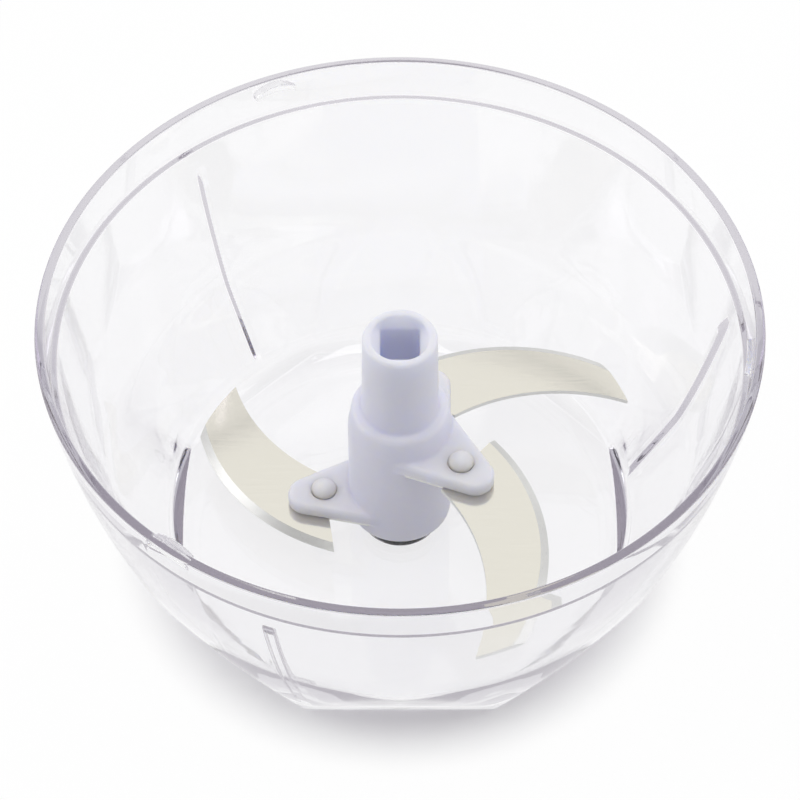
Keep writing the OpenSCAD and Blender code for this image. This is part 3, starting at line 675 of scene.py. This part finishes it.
def make_cords():
    """The turns on the reel, and the straight stretch to the knot in the grip."""
    low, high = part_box("cord_winding")
    axis = (low + high) / 2 / MM
    top = high.z / MM - CORD_R
    count = round(CORD_TURNS * TURN * CORD_COIL_R / CORD_RING)
    path = []
    for i in range(count + 1):
        a = TURN * (CORD_TURNS * (1 - i / count) + CORD_LEAVES)
        z = top - CORD_STEP * CORD_TURNS * i / count
        path.append(Vector((axis.x + CORD_COIL_R * math.cos(a), CORD_COIL_R * math.sin(a), z)))
    winding = cord_mesh("cord_turns", path, lambda length: CORD_R)
    new_piece("cord_turns", winding, "cord", "reel", "cord_winding")

    low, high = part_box("pull_cord")
    start = Vector((low.x, (low.y + high.y) / 2, (low.z + high.z) / 2)) / MM
    whole = (high.x - low.x) / MM
    knot_at = whole - KNOT_R

    def girth(length):
        """The cord's radius, swelling into the knot."""
        off = min(abs(length - knot_at) / KNOT_R, 1.0)
        return max(CORD_R if length < knot_at else CORD_TIP_R, KNOT_R * math.sqrt(1 - off ** 2))

    path = [start + Vector((whole * i / STRAIGHT_RINGS, 0, 0)) for i in range(STRAIGHT_RINGS + 1)]
    new_piece("cord_straight", cord_mesh("cord_straight", path, girth), "cord", "pull_handle", "pull_cord")


# Room: floor, light and camera

# Centres of the floor's painted shadow: the bowl's axis and the lid's axis
FLOOR_SPOTS = [(0, 0, 0), (sum(c.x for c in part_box("lid_cover")) / 2, 0, 0)]


def make_floor():
    """A white floor with a painted shadow: it is greyer close round the bowl and the lid by distance
    alone, and the real shadow also shows there.
    """
    mat, tree = new_material("floor")
    lit = add(tree, "BsdfDiffuse", {"Color": (0.97, 0.97, 0.975, 1)})
    bright = add(tree, "Emission", {"Color": (1, 1, 1, 1), "Strength": 1.0})
    place = add(tree, "TexCoord").outputs["Object"]
    far = [add(tree, "VectorMath", {0: place, 1: spot}, operation="DISTANCE") for spot in FLOOR_SPOTS]
    far = reckon(tree, "MINIMUM", far[0].outputs["Value"], far[1].outputs["Value"])
    # Painted shadow: the white share drops towards the bowl and the lid, so the floor greys there even
    # where no light is blocked
    white_past_painted_shadow = in_range(tree, far, PAINTED_SHADOW_FADE, (0.0, FLOOR_FAR_WHITE), "SMOOTHSTEP")
    rays = add(tree, "LightPath").outputs
    direct = reckon(tree, "MULTIPLY", rays["Is Camera Ray"], white_past_painted_shadow)
    seen = reckon(tree, "MAXIMUM", rays["Is Glossy Ray"], rays["Is Transmission Ray"])
    through = reckon(tree, "MULTIPLY", seen, FLOOR_THROUGH)
    share = reckon(tree, "MAXIMUM", direct, through)
    mixed = add(tree, "MixShader", {0: share, 1: lit.outputs[0], 2: bright.outputs[0]})
    finish_material(tree, mixed.outputs[0])
    around = ((-1, -1), (1, -1), (1, 1), (-1, 1))
    corners = [(x * FLOOR_SIZE, y * FLOOR_SIZE, -FLOOR_DROP) for x, y in around]
    mesh = bpy.data.meshes.new("floor")
    mesh.from_pydata(corners, [], [(0, 1, 2, 3)])
    mesh.materials.append(mat)
    floor = bpy.data.objects.new("floor", mesh)
    scene.collection.objects.link(floor)


def make_world():
    """White behind and along the horizon, greyer above the camera, so that clear edges show."""
    world = bpy.data.worlds.new("studio")
    world.use_nodes = True
    scene.world = world
    tree = world.node_tree
    tree.nodes.clear()
    way = add(tree, "SeparateXYZ", {0: add(tree, "TexCoord").outputs["Generated"]}).outputs
    near = in_range(tree, way["Z"], DOME_RISE, DOME_GREY)
    behind = in_range(tree, way["Y"], BACK_FADE, (0.0, 1.0), "SMOOTHSTEP")
    grey = add(tree, "Mix", {0: behind, 2: near, 3: BACK_GREY}, data_type="FLOAT")
    dome = add(tree, "Background", {"Color": grey.outputs[0], "Strength": 1.0})
    white = add(tree, "Background", {"Color": (1, 1, 1, 1), "Strength": 1.0})
    camera = add(tree, "LightPath").outputs["Is Camera Ray"]
    mixed = add(tree, "MixShader", {0: camera, 1: dome.outputs[0], 2: white.outputs[0]})
    add(tree, "OutputWorld", {"Surface": mixed.outputs[0]})


def add_lamp(name, at, to, size, power):
    """A soft box that faces a point."""
    data = bpy.data.lights.new(name, "AREA")
    data.shape = "RECTANGLE"
    data.size, data.size_y = size
    data.energy = power
    lamp = bpy.data.objects.new(name, data)
    lamp.location = at
    lamp.rotation_euler = (Vector(to) - Vector(at)).to_track_quat("-Z", "Y").to_euler()
    scene.collection.objects.link(lamp)


def make_camera():
    """The camera at the photograph's angle."""
    data = bpy.data.cameras.new("camera")
    data.lens = CAMERA_LENS
    data.sensor_width = CAMERA_SENSOR
    camera = bpy.data.objects.new("camera", data)
    camera.location = CAMERA_AT
    camera.rotation_euler = (CAMERA_TO - CAMERA_AT).to_track_quat("-Z", "Y").to_euler()
    scene.collection.objects.link(camera)
    scene.camera = camera


make_camera()
make_floor()
make_world()
for lamp in LAMPS:
    add_lamp(*lamp)

for part in nodes.values():
    slot = part.data.materials[0].name.split(".")[0]
    part.data.materials[0] = MATERIALS[slot]
make_bowl()
soft_copy("hub_moulded", "blade_hub", "white_plastic", "blade_unit", HUB_VOXEL, HUB_ROUNDS)
make_cords()

scene.view_settings.view_transform = "Standard"
